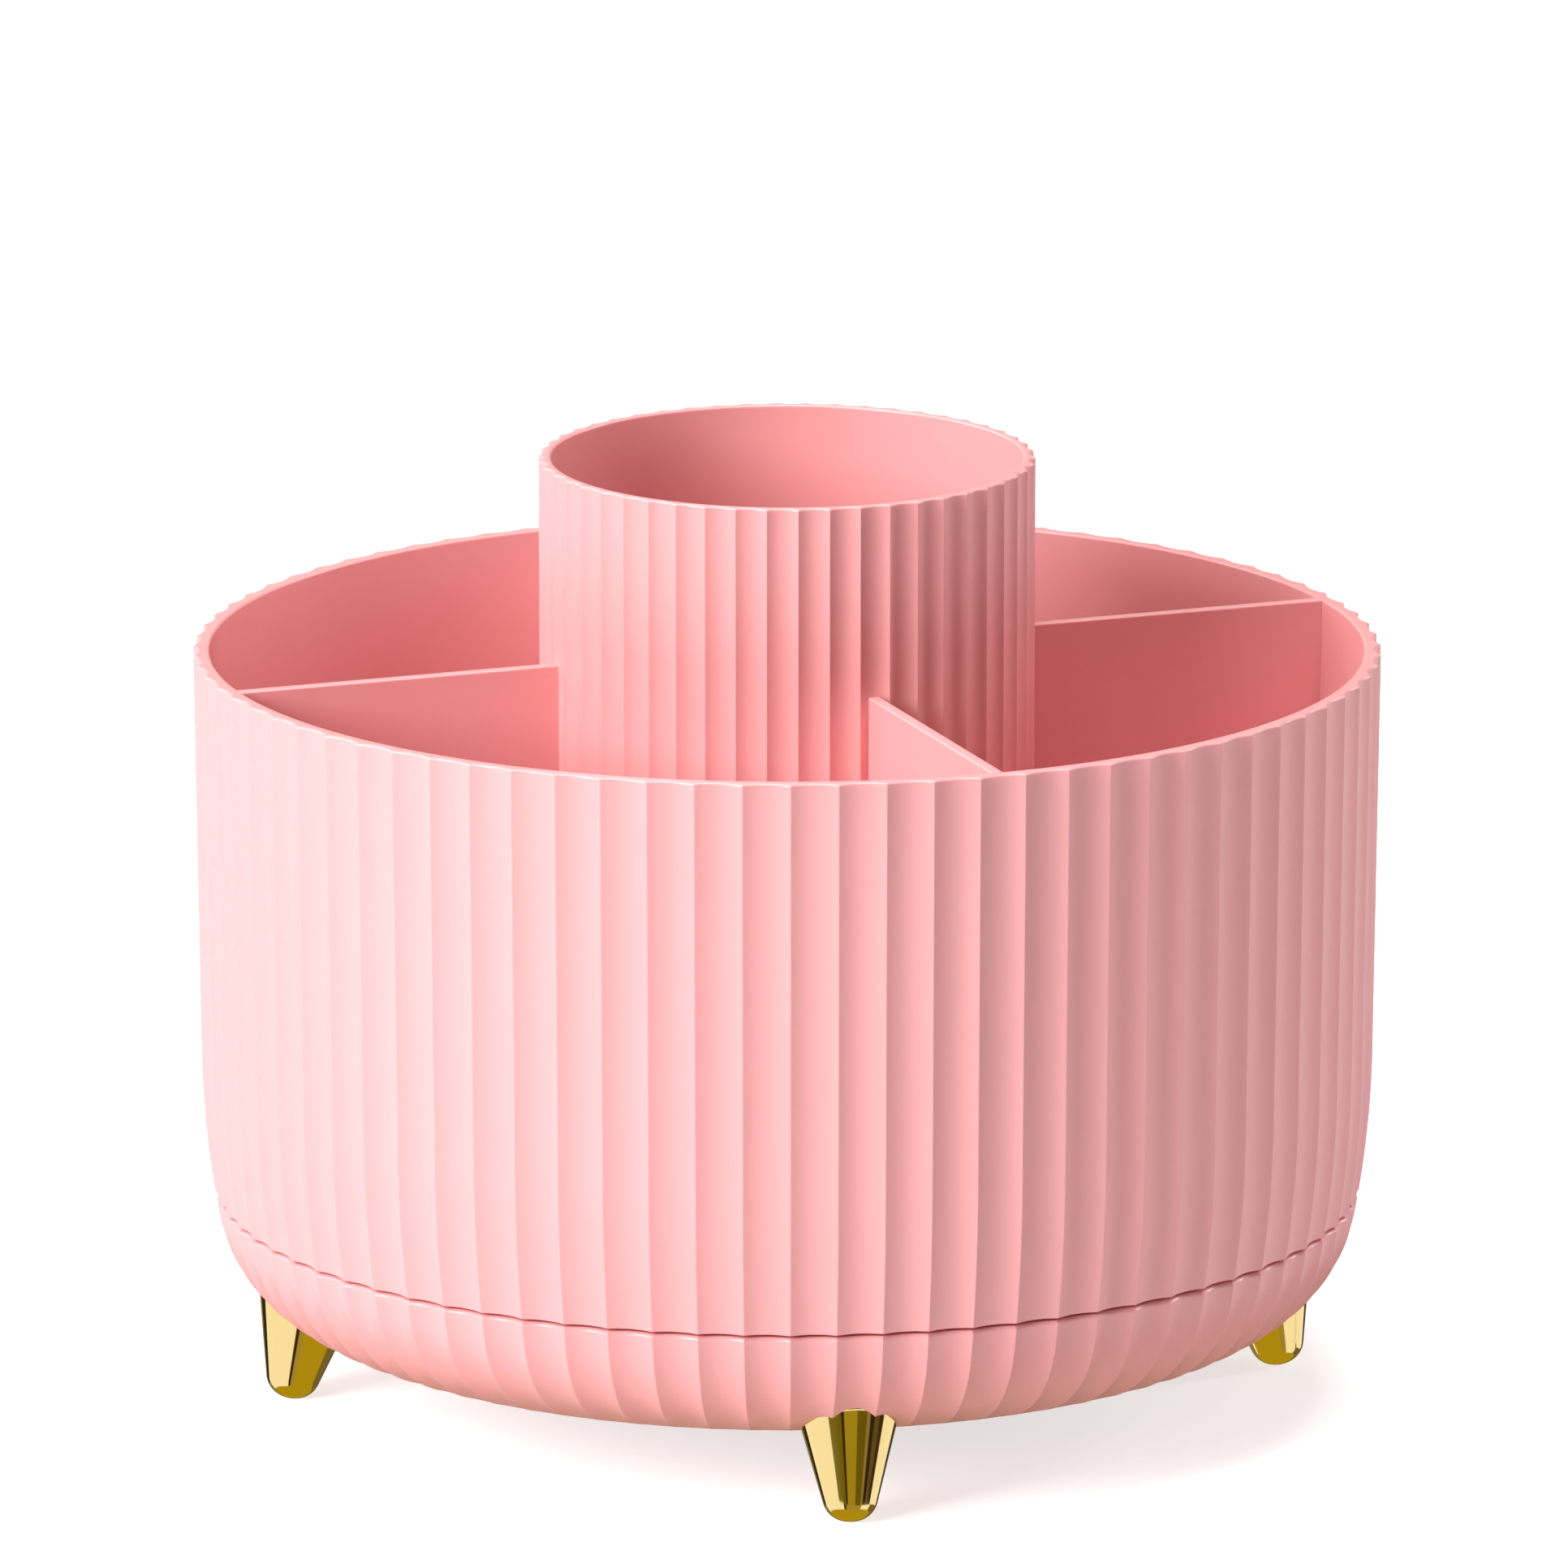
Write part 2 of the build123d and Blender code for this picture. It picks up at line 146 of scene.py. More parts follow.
# What the metal mirrors, a painted reflection: panels that only glossy rays see and that light nothing.
# Where each panel starts, as a bearing from the camera's own, and its colour.
# The lower panels lie round the object below the upper ones, and a painted reflection of the table,
# yellow-brown though the floor is grey, fills the middle.
UPPER_REFLECTION_PANELS = [
    (-180, "#8A8460"),
    (-150, "#33291A"),
    (-127, "#FFFFFF"),
    (-46, "#716814"),
    (-16, "#3A261C"),
    (-9, "#A2912A"),
    (20, "#675D14"),
    (43, "#8C8050"),
    (51, "#2C1A14"),
    (63, "#594E27"),
    (77, "#38241C"),
    (90, "#FFFFFF"),
    (140, "#4A422C"),
]
LOWER_REFLECTION_PANELS = [
    (-180, "#8A8050"),
    (-127, "#FFFFFF"),
    (-28, "#38241C"),
    (-18, "#A29446"),
    (48, "#FFFFFF"),
    (93, "#756A40"),
]
# painted reflection of the table under the feet, yellow-brown to deepen the gold; the floor's own paint is
# FLOOR_COLOUR
TABLE_REFLECTION_COLOUR = "#B09C1E"
UPPER_ABOVE = -27.2  # elevation where the upper panels start
LOWER_ABOVE = -44.0  # and where the lower ones do
PANEL_STRENGTH = 1.06
PANEL_REACH = 58.0  # from nearer than this, glossy surfaces see the painted reflection panels through the floor instead of the floor

# Lamps, world and floor: distances in metres, angles from the camera's own side, power in watts
LIGHT_DISTANCE = 1.6
LIGHT_AIM = 0.07  # height of the point that the lamps look at
LIGHTS = [  # name, angle, elevation, width, height, power
    ("left_window", -108, 18, 0.8, 0.8, 6),
    ("key", -50, 24, 0.8, 0.8, 30.5),
    ("right_window", 112, 14, 0.22, 0.88, 8),
    ("overhead", 0, 88, 0.8, 0.8, 26),
]
WORLD_LIGHT = 0.15
WORLD_COLOUR = "#FFE4E4"  # the pink that the surroundings throw back
FLOOR_REACH = 6.0
FLOOR_COLOUR = "#D2D2D2"
FLOOR_GLOW = 0.67  # what the camera sees of the floor beyond its own paint, to make it white

# Plastic and metal
FLOWS_PER_METRE = 35.0  # the flow marks in moulded plastic are about 29 mm apart
ROUGHNESS_SPREAD = 0.03
SCATTER_METRES = 0.0015  # how deep red light goes into the plastic
SCATTER_SHARES = (1.0, 0.45, 0.4)  # of that depth, for red, green and blue
GLOSS_SPREAD = 0.2  # share by which a metal's roughness varies

MM = 0.001


def sind(angle):
    """Sine of an angle in degrees."""
    return np.sin(np.radians(angle))


def cosd(angle):
    """Cosine of an angle in degrees."""
    return np.cos(np.radians(angle))


def tand(angle):
    """Tangent of an angle in degrees."""
    return np.tan(np.radians(angle))


# Centres of the profile's two curves, as radius and height
UNDER_Z = DISH_CLEARANCE + UNDER_CURVE_RADIUS
CURVE_JOIN_Z = UNDER_Z - UNDER_CURVE_RADIUS * sind(SOFT_CURVE_END)
SOFT_Z = CURVE_JOIN_Z + SOFT_CURVE_RADIUS * sind(SOFT_CURVE_END)
WALL_END_Z = SOFT_Z - SOFT_CURVE_RADIUS * sind(WALL_DRAFT)
SOFT_R = DRUM_RADIUS - (RIM_HEIGHT - WALL_END_Z) * tand(WALL_DRAFT) - SOFT_CURVE_RADIUS * cosd(WALL_DRAFT)
UNDER_R = SOFT_R + (SOFT_CURVE_RADIUS - UNDER_CURVE_RADIUS) * cosd(SOFT_CURVE_END)


def side_radius(height, inset=0.0):
    """Radius of the side at each height: a drafted line, then a long arc, then a tight arc under the dish,
    all moved inwards by the inset."""
    soft = SOFT_CURVE_RADIUS - inset
    tight = UNDER_CURVE_RADIUS - inset
    curve_join = SOFT_Z - soft * sind(SOFT_CURVE_END)
    wall_end = SOFT_Z - soft * sind(WALL_DRAFT)
    line = SOFT_R + soft * cosd(WALL_DRAFT) + (height - wall_end) * tand(WALL_DRAFT)
    long_arc = SOFT_R + np.sqrt(np.maximum(soft**2 - (SOFT_Z - height) ** 2, 0))
    tight_arc = UNDER_R + np.sqrt(np.maximum(tight**2 - (UNDER_Z - height) ** 2, 0))
    return np.where(height >= wall_end, line, np.where(height >= curve_join, long_arc, tight_arc))


def rows(radius, height, depth=0.0, lean=0.0):
    """Profile rows: radius, height, flute depth and the lean of the surface, one row per value."""
    return np.stack(np.broadcast_arrays(*np.atleast_1d(radius, height, depth, lean)), axis=1).astype(float)


def arc(centre_r, centre_z, radius, start, end, count, depth=0.0):
    """Rows along an arc in the profile plane, from the start angle to the end angle above the radius."""
    angles = np.linspace(start, end, count)
    return rows(centre_r + radius * cosd(angles), centre_z + radius * sind(angles), depth)


def side(start, end, count, inset=0.0, depth=0.0):
    """Rows along the inset side between two heights."""
    heights = np.linspace(start, end, count)
    return rows(side_radius(heights, inset), heights, depth)


def scallop(samples, half_pitch, depth):
    """Depth of a concave circular scallop across one pitch, 0 at the ridges and 1 in the valley, with
    the ridges rounded a little."""
    x = 2 * samples - 1
    radius = (half_pitch**2 + depth**2) / (2 * depth)
    curve = (np.sqrt(radius**2 - (half_pitch * x) ** 2) - (radius - depth)) / depth
    return np.sqrt(np.maximum(curve, 0) ** 2 + RIDGE_ROUND**2) - RIDGE_ROUND


def fluted_grid(profile, flutes, first_ridge, depth, radius):
    """Points of a profile turned about Z; each row sinks along its own normal by its flute depth times
    the scallop at that angle."""
    samples = np.array(FLUTE_SAMPLES)
    pitch = 360 / flutes
    wave = np.tile(scallop(samples, radius * math.pi / flutes, depth), flutes)
    angles = first_ridge + pitch * (np.arange(flutes)[:, None] + samples[None, :]).ravel()
    r, z, sink, lean = (column[:, None] for column in profile.T)
    turned_r = r - sink * wave * cosd(lean)
    turned_z = z + sink * wave * sind(lean) + 0 * angles
    return np.stack([turned_r * cosd(angles), turned_r * sind(angles), turned_z], axis=2)


def round_grid(profile, count):
    """Points of a plain profile turned about Z."""
    angles = np.arange(count) * 360 / count
    r, z = profile[:, 0][:, None], profile[:, 1][:, None]
    return np.stack([r * cosd(angles), r * sind(angles), z + 0 * angles], axis=2)


def grid_faces(grid, closed, first=0):
    """Vertices and faces of a grid whose columns go all the way round. A closed grid also joins its last
    row to its first; an open one ends in poles, one point each."""
    row_count, column_count = grid.shape[:2]
    columns = np.arange(column_count)
    following = (columns + 1) % column_count
    if closed:
        vertices = grid.reshape(-1, 3)
        starts = np.arange(row_count) * column_count
        ends = np.roll(starts, -1)
    else:
        body = grid[1:-1].reshape(-1, 3)
        vertices = np.vstack([grid[0, :1], body, grid[-1, :1]])
        starts = 1 + np.arange(row_count - 3) * column_count
        ends = starts + column_count
    low = starts[:, None]
    high = ends[:, None]
    quads = np.stack([low + columns, low + following, high + following, high + columns], axis=2)
    faces = (quads.reshape(-1, 4) + first).tolist()
    if not closed:
        last = len(vertices) - 1
        final = 1 + (row_count - 3) * column_count
        bottom = np.stack([0 * columns, 1 + following, 1 + columns], axis=1)
        top = np.stack([last + 0 * columns, final + columns, final + following], axis=1)
        faces += (bottom + first).tolist() + (top + first).tolist()
    return vertices, faces


def volume_sign(vertices, faces):
    """Sign of the enclosed volume, from the fan of triangles of each face."""
    total = 0.0
    for size in (3, 4):
        group = np.array([face for face in faces if len(face) == size])
        if len(group):
            a, b, c = (vertices[group[:, k]] for k in (0, 1, 2))
            total += np.einsum("ij,ij->i", a, np.cross(b, c)).sum()
            if size == 4:
                d = vertices[group[:, 3]]
                total += np.einsum("ij,ij->i", a, np.cross(c, d)).sum()
    return total


def piece(name, grids, body, replaced, material):
    """One mesh object from closed grids in millimetres, riding on a body in place of CAD nodes."""
    vertices, faces = [], []
    count = 0
    for grid, closed in grids:
        points, polygons = grid_faces(grid, closed, count)
        if volume_sign(points, [[index - count for index in face] for face in polygons]) < 0:
            polygons = [face[::-1] for face in polygons]
        vertices.append(points)
        faces += polygons
        count += len(points)
    mesh = bpy.data.meshes.new(name)
    mesh.from_pydata(np.vstack(vertices) * MM, [], faces)
    mesh.polygons.foreach_set("use_smooth", np.ones(len(mesh.polygons), bool))
    mesh.update()
    mesh.materials.append(material)
    obj = bpy.data.objects.new(name, mesh)
    bpy.context.scene.collection.objects.link(obj)
    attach(obj, body)
    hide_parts(*replaced)


def moved(grid, angle, radius):
    """A grid about Z carried out to a radius and turned to an angle."""
    shift = np.array([radius * cosd(angle), radius * sind(angle), 0])
    return grid + shift


def boss_grid(low, high):
    """A closed tube between two heights: outer wall, rounded top, pilot hole and foot."""
    profile = np.vstack([
        rows(BOSS_RADIUS, [low, high - BOSS_ROUND]),
        arc(BOSS_RADIUS - BOSS_ROUND, high - BOSS_ROUND, BOSS_ROUND, 20, 90, 4),
        rows(PILOT_RADIUS, [high, low]),
    ])
    return round_grid(profile, BOSS_COLUMNS)


def bosses(low, high, circle, turn=0.0):
    """Four bosses between two heights, a quarter turn apart on a circle that is turned back."""
    boss = boss_grid(low, high)
    return [(moved(boss, BOSS_ANGLE - turn + 90 * k, circle), True) for k in range(4)]


def rim_rows(outer, inner, high, depth):
    """Over the top of a wall: an outer rounding that follows the flutes, a flat top and a plain inner
    rounding, each a quarter circle in the profile plane."""
    middle = high - RIM_ROUND
    outer_centre = outer - RIM_ROUND
    inner_centre = inner + RIM_ROUND
    return np.vstack([
        arc(outer_centre, middle, RIM_ROUND, 0, 90, 7, depth),
        rows(outer_centre - SUPPORT, high, depth),
        rows(inner_centre + SUPPORT, high),
        arc(inner_centre, middle, RIM_ROUND, 90, 180, 7),
    ])


def drum_grid():
    """From the underside's middle out to the skirt, up the fluted wall, over the rim, down inside and
    along the floor."""
    depth = DRUM_FLUTE_DEPTH
    edge = DRUM_EDGE_ROUND
    seam_z = DRUM_BOTTOM + edge
    seam_r = float(side_radius(seam_z))
    skirt = float(side_radius(DRUM_BOTTOM, SHELL_WALL))
    corner_z = FLOOR_HIGH + FLOOR_CORNER
    corner_r = float(side_radius(corner_z, SHELL_WALL)) - FLOOR_CORNER
    rim_r = float(side_radius(RIM_HEIGHT))
    wall_top = RIM_HEIGHT - RIM_ROUND - SUPPORT
    profile = np.vstack([
        rows([0, skirt / 2, skirt], FLOOR_LOW),
        rows([skirt, skirt + SKIRT_CHAMFER], [DRUM_BOTTOM + SKIRT_CHAMFER, DRUM_BOTTOM]),
        arc(seam_r - edge, seam_z, edge, -90, -10, 6, depth),
        side(seam_z + SUPPORT, WALL_END_Z, 14, 0, depth),
        side(WALL_END_Z, wall_top, 8, 0, depth)[1:],
        rim_rows(rim_r, rim_r - SHELL_WALL, RIM_HEIGHT, depth),
        side(wall_top, WALL_END_Z, 6, SHELL_WALL),
        side(WALL_END_Z, corner_z, 8, SHELL_WALL)[1:],
        arc(corner_r, corner_z, FLOOR_CORNER, 0, -90, 8)[1:],
        rows([*DRUM_FLOOR_RINGS, 0], FLOOR_HIGH),
    ])
    return fluted_grid(profile, DRUM_FLUTES, 180 / DRUM_FLUTES, depth, DRUM_RADIUS)


def cup_grid():
    """From under the raised floor down the foot, up the fluted wall, over the rim and down to the floor."""
    bore = CUP_RADIUS - CUP_WALL
    corner_z = CUP_FLOOR_HIGH + FLOOR_CORNER
    wall_top = CUP_HEIGHT - RIM_ROUND - SUPPORT
    profile = np.vstack([
        rows([0, bore / 2, bore], CUP_FLOOR_LOW),
        rows(bore, FLOOR_HIGH),
        rows(CUP_RADIUS, np.linspace(FLOOR_HIGH, wall_top, 12), CUP_FLUTE_DEPTH),
        rim_rows(CUP_RADIUS, bore, CUP_HEIGHT, CUP_FLUTE_DEPTH),
        rows(bore, np.linspace(wall_top, corner_z, 8)),
        arc(bore - FLOOR_CORNER, corner_z, FLOOR_CORNER, 0, -90, 8)[1:],
        rows([*CUP_FLOOR_RINGS, 0], CUP_FLOOR_HIGH),
    ])
    return fluted_grid(profile, CUP_FLUTES, 0, CUP_FLUTE_DEPTH, CUP_RADIUS)


def dish_grid():
    """A closed ring profile: recess and flat bottom, the fluted under-curve, the seam edge, the collar,
    the inside wall and floor, the hub and its bore."""
    leans = np.linspace(90, SOFT_CURVE_END, 26)
    radii = UNDER_R + UNDER_CURVE_RADIUS * cosd(leans)
    fade = np.clip((FADE_END - leans) / (FADE_END - FADE_LEAN), 0, 1)
    fade = fade * fade * (3 - 2 * fade)
    depths = DRUM_FLUTE_DEPTH * fade * radii / DRUM_RADIUS
    curve = rows(radii, UNDER_Z - UNDER_CURVE_RADIUS * sind(leans), depths, leans)
    edge = RECESS_CHAMFER
    seam_z = DISH_TOP - DISH_EDGE_ROUND
    seam_r = float(side_radius(seam_z))
    collar_inner = COLLAR_OUTER - COLLAR_WALL
    floor_z = DISH_CLEARANCE + SHELL_WALL
    ring_r = RECESS_RADIUS + SHELL_WALL
    ring_z = RECESS_TOP + SHELL_WALL
    profile = np.vstack([
        rows([BORE_RADIUS, RECESS_RADIUS - edge - SUPPORT, RECESS_RADIUS - edge], RECESS_TOP),
        rows(RECESS_RADIUS, [RECESS_TOP - edge, RECESS_TOP - edge - SUPPORT]),
        rows(RECESS_RADIUS, [DISH_CLEARANCE + edge + SUPPORT, DISH_CLEARANCE + edge]),
        rows([RECESS_RADIUS + edge, RECESS_RADIUS + edge + SUPPORT, *BOTTOM_RINGS], DISH_CLEARANCE),
        curve,
        side(CURVE_JOIN_Z, seam_z - SUPPORT, 4, 0, DRUM_FLUTE_DEPTH)[1:],
        arc(seam_r - DISH_EDGE_ROUND, seam_z, DISH_EDGE_ROUND, 10, 90, 8, DRUM_FLUTE_DEPTH),
        rows(COLLAR_OUTER, [DISH_TOP, COLLAR_TOP - COLLAR_CHAMFER]),
        rows([COLLAR_OUTER - COLLAR_CHAMFER, collar_inner + COLLAR_CHAMFER], COLLAR_TOP),
        rows(collar_inner, [COLLAR_TOP - COLLAR_CHAMFER, COLLAR_FOOT]),
        side(WALL_INSIDE_TOP, floor_z + INNER_CHAMFER, 8, SHELL_WALL),
        rows([BOTTOM_RINGS[-1], ring_r], floor_z),
        rows([ring_r, ring_r - INNER_CHAMFER], [ring_z - INNER_CHAMFER, ring_z]),
        rows(HUB_RADIUS, [ring_z, HUB_TOP]),
        rows(BORE_RADIUS, HUB_TOP),
    ])
    return fluted_grid(profile, DRUM_FLUTES, 180 / DRUM_FLUTES - DRUM_TURN, DRUM_FLUTE_DEPTH, DRUM_RADIUS)


def depth_in_dish(radius, height):
    """How far a point lies inside the dish's outer surface near the under-curve."""
    beyond = radius > UNDER_R
    curved = UNDER_CURVE_RADIUS - np.hypot(radius - UNDER_R, height - UNDER_Z)
    return np.where(beyond, curved, height - DISH_CLEARANCE)


def foot_grid(angle):
    """A splayed cone with a rounded tip, flat where it stands. Each line up its side ends where it is a
    little way inside the dish wall, found by halving."""
    end_radius = FOOT_TIP_RADIUS - FOOT_TIP_SINK * tand(FOOT_TAPER)
    tangent = FOOT_TIP_ROUND * tand((90 - FOOT_TAPER) / 2)
    flat = end_radius - tangent
    tip = arc(flat, FOOT_TIP_ROUND - FOOT_TIP_SINK, FOOT_TIP_ROUND, -90, -FOOT_TAPER,
              FOOT_TIP_ROWS)
    around = np.arange(FOOT_COLUMNS) * 360 / FOOT_COLUMNS

    def in_place(r, s):
        """Leans the foot outwards and cuts it off at the table: s runs up its axis, r away from it."""
        x = FOOT_CIRCLE + r * cosd(around) * cosd(FOOT_SPLAY) - s * sind(FOOT_SPLAY)
        y = r * sind(around) + 0 * s
        z = np.maximum(r * cosd(around) * sind(FOOT_SPLAY) + s * cosd(FOOT_SPLAY), 0)
        return x, y, z

    low = np.full(around.shape, FOOT_SHORTEST)
    high = np.full(around.shape, FOOT_LONGEST)
    for _ in range(HALVINGS):
        middle = (low + high) / 2
        x, y, z = in_place(FOOT_TIP_RADIUS + middle * tand(FOOT_TAPER), middle)
        inside = depth_in_dish(np.hypot(x, y), z) > FOOT_SEAT
        high = np.where(inside, middle, high)
        low = np.where(inside, low, middle)
    shares = np.linspace(0, 1, FOOT_SIDE_ROWS)[1:, None]
    s = np.vstack([
        np.full(around.shape, -FOOT_TIP_SINK),
        np.repeat(tip[:, 1][:, None], len(around), axis=1),
        tip[-1, 1] + shares * (high - tip[-1, 1]),
        np.full(around.shape, high.mean()),
    ])
    r = np.vstack([
        0 * around,
        np.repeat(tip[:, 0][:, None], len(around), axis=1),
        FOOT_TIP_RADIUS + s[1 + len(tip):-1] * tand(FOOT_TAPER),
        0 * around,
    ])
    x, y, z = in_place(r, s)
    return np.stack([x * cosd(angle) - y * sind(angle), x * sind(angle) + y * cosd(angle), z], axis=2)


def linear(hex_colour):
    """An sRGB hex colour as linear RGBA."""
    values = [int(hex_colour[i:i + 2], 16) / 255 for i in (1, 3, 5)]
    return (*[v / 12.92 if v <= 0.04045 else ((v + 0.055) / 1.055) ** 2.4 for v in values], 1.0)


def add_node(material, kind, settings=None, links=None):
    """Adds a shader node, sets its properties and sockets by name and links other nodes' outputs to it."""
    tree = material.node_tree
    new = tree.nodes.new(kind)
    for key, value in (settings or {}).items():
        if key in new.inputs:
            new.inputs[key].default_value = value
        else:
            setattr(new, key, value)
    for key, output in (links or {}).items():
        tree.links.new(output, new.inputs[key])
    return new


def new_material(name):
    """A material with an empty node tree."""
    material = bpy.data.materials.new(name)
    material.use_nodes = True
    material.node_tree.nodes.clear()
    return material


def finished(material, shader):
    """Links the shader to the material's output."""
    add_node(material, "ShaderNodeOutputMaterial", {}, {"Surface": shader.outputs[0]})
    return material


def moulded_plastic(name, colour, mottle, roughness, grain_mm, bump_mm, ior, depth):
    """Injection-moulded plastic: an even colour with a faint flow mottle, and the fine grain that the
    mould's texture leaves. The grain is drawn coarser than the real one so that it shows."""
    material = new_material(name)
    place = add_node(material, "ShaderNodeTexCoord").outputs["Object"]
    flow = add_node(material, "ShaderNodeTexNoise", {"Scale": FLOWS_PER_METRE, "Detail": 3.0},
                    {"Vector": place})
    tint = add_node(material, "ShaderNodeMix", {"data_type": "RGBA"}, {"Factor": flow.outputs["Fac"]})
    tint.inputs[6].default_value = linear(colour)
    tint.inputs[7].default_value = linear(mottle)
    grain = add_node(material, "ShaderNodeTexNoise", {"Scale": 1 / (grain_mm * MM), "Detail": 2.0},
                     {"Vector": place})
    bump = add_node(material, "ShaderNodeBump", {"Strength": 1.0, "Distance": bump_mm * MM},
                    {"Height": grain.outputs["Fac"]})
    rough = add_node(material, "ShaderNodeMapRange", {
        "To Min": roughness - ROUGHNESS_SPREAD,
        "To Max": roughness + ROUGHNESS_SPREAD,
    }, {"Value": flow.outputs["Fac"]})
    shader = add_node(material, "ShaderNodeBsdfPrincipled", {"IOR": ior, "Subsurface Weight": depth}, {
        "Base Color": tint.outputs[2],
        "Roughness": rough.outputs["Result"],
        "Normal": bump.outputs["Normal"],
    })
    shader.inputs["Subsurface Radius"].default_value = SCATTER_SHARES
    shader.inputs["Subsurface Scale"].default_value = SCATTER_METRES
    return finished(material, shader)


def metal(name, colour, tarnish, roughness, cloud_mm):
    """Metal with a faint unevenness of colour and gloss from its plating or turning."""
    material = new_material(name)
    place = add_node(material, "ShaderNodeTexCoord").outputs["Object"]
    cloud = add_node(material, "ShaderNodeTexNoise", {"Scale": 1 / (cloud_mm * MM), "Detail": 3.0},
                     {"Vector": place})
    tint = add_node(material, "ShaderNodeMix", {"data_type": "RGBA"}, {"Factor": cloud.outputs["Fac"]})
    tint.inputs[6].default_value = linear(colour)
    tint.inputs[7].default_value = linear(tarnish)
    rough = add_node(material, "ShaderNodeMapRange", {
        "To Min": roughness * (1 - GLOSS_SPREAD),
        "To Max": roughness * (1 + GLOSS_SPREAD),
    }, {"Value": cloud.outputs["Fac"]})
    shader = add_node(material, "ShaderNodeBsdfPrincipled", {"Metallic": 1.0},
                      {"Base Color": tint.outputs[2], "Roughness": rough.outputs["Result"]})
    return finished(material, shader)


def dress(node, material):
    """Gives a CAD node's object its material."""
    mesh = frame["nodes"][node].data
    mesh.materials.clear()
    mesh.materials.append(material)


# Satin ABS, moulded in colour: soft broad highlights and slight depth
pink_abs = moulded_plastic("satin_pink_abs", "#EEA8A9", "#ECA4A5", 0.30, 0.35, 0.006, 1.53, 0.12)
# Vacuum-metallised ABS under clear lacquer: a mirror gloss in yellow gold
gold_plate = metal("vacuum_plated_gold", "#F6DC9C", "#F1D690", 0.07, 9.0)
# Acetal, moulded white: slippery, slightly waxy
white_acetal = moulded_plastic("white_acetal", "#F0F0EC", "#EDEDE8", 0.35, 0.5, 0.004, 1.48, 0.05)
# Bright zinc plate on cold-headed steel
zinc_steel = metal("bright_zinc_steel", "#C6C8CB", "#B9BCC0", 0.28, 1.5)
# Through-hardened, polished bearing steel
ball_steel = metal("polished_bearing_steel", "#D2D3D5", "#CBCCD0", 0.07, 3.0)


def make_pieces():
    """The pieces that replace CAD nodes: drum, cup and dish, each with its screw bosses, and the feet."""
    upper_bosses = bosses(UPPER_BOSS_LOW, FLOOR_LOW + BOSS_SINK, UPPER_BOSS_CIRCLE)
    flange_bosses = bosses(FLOOR_HIGH - BOSS_SINK, FLANGE_BOSS_TOP, FLANGE_BOSS_CIRCLE)
    piece("drum_shell", [(drum_grid(), False), *upper_bosses, *flange_bosses], "drum",
          ["drum"], pink_abs)
    cup_bosses = bosses(FLOOR_HIGH, CUP_FLOOR_LOW + BOSS_SINK, CUP_BOSS_CIRCLE)
    piece("cup_shell", [(cup_grid(), False), *cup_bosses], "drum", ["centre_cup"], pink_abs)
    dish_floor = DISH_CLEARANCE + SHELL_WALL
    lower_bosses = bosses(dish_floor - BOSS_SINK, LOWER_BOSS_TOP, LOWER_BOSS_CIRCLE, DRUM_TURN)
    piece("dish_shell", [(dish_grid(), True), *lower_bosses], "base", ["base_dish"], pink_abs)
    for name, angle in FOOT_ANGLES.items():
        piece(f"gold_foot_{name}", [(foot_grid(angle), False)], "base",
              [f"foot_{name}"], gold_plate)


def dress_nodes():
    """Gives every CAD node the material of its slot."""
    finishes = {
        "pink_plastic": pink_abs,
        "gold_plating": gold_plate,
        "white_acetal": white_acetal,
        "zinc_steel": zinc_steel,
        "polished_steel": ball_steel,
    }
    for entry in frame["record"]["subparts"]:
        dress(entry["node"], finishes[entry["material_slot"]])


def make_camera():
    """The photograph's camera: it looks at a point beside the axis, counted to its right."""
    outwards = Vector((cosd(CAMERA_AZIMUTH), sind(CAMERA_AZIMUTH), 0))
    rightwards = Vector((-sind(CAMERA_AZIMUTH), cosd(CAMERA_AZIMUTH), 0))
    spot = (outwards * CAMERA_DISTANCE + Vector((0, 0, CAMERA_HEIGHT))) * MM
    aim = (rightwards * AIM_SIDE + Vector((0, 0, AIM_HEIGHT))) * MM
    data = bpy.data.cameras.new("camera")
    data.sensor_width = SENSOR
    data.lens = FOCAL_PIXELS / IMAGE_PIXELS * SENSOR
    data.clip_start = CLIP_NEAR
    data.clip_end = CLIP_FAR
    camera = bpy.data.objects.new("camera", data)
    camera.location = spot
    camera.rotation_euler = (aim - spot).to_track_quat("-Z", "Y").to_euler()
    bpy.context.scene.collection.objects.link(camera)
    bpy.context.scene.camera = camera


def make_light(name, azimuth, elevation, width, height, power):
    """A soft rectangular light at an azimuth counted from the camera's own, positive to its right."""
    angle = CAMERA_AZIMUTH + azimuth
    way = Vector((cosd(elevation) * cosd(angle), cosd(elevation) * sind(angle), sind(elevation)))
    spot = way * LIGHT_DISTANCE
    data = bpy.data.lights.new(name, "AREA")
    data.shape = "RECTANGLE"
    data.size = width
    data.size_y = height
    data.energy = power
    lamp = bpy.data.objects.new(name, data)
    lamp.location = spot + Vector((0, 0, LIGHT_AIM))
    lamp.rotation_euler = (-spot).to_track_quat("-Z", "Y").to_euler()
    bpy.context.scene.collection.objects.link(lamp)


def switched(material, when, usual, special):
    """A shader that is the special one for rays of one kind, and the usual one for the rest."""
    switch = add_node(material, "ShaderNodeMixShader")
    for socket, output in zip(switch.inputs, (when, usual.outputs[0], special.outputs[0])):
        material.node_tree.links.new(output, socket)
    return switch


def panel_ramp(world, share, panel_list):
    """Colours that change in steps with the bearing, which runs from 0 to 1."""
    ramp = add_node(world, "ShaderNodeValToRGB", {}, {"Fac": share})
    ramp.color_ramp.interpolation = "CONSTANT"
    stops = ramp.color_ramp.elements
    while len(stops) < len(panel_list):
        stops.new(0.5)
    for stop, (bearing, colour) in zip(stops, panel_list):
        stop.position = (bearing + 180) / 360
        stop.color = linear(colour)
    return ramp.outputs["Color"]


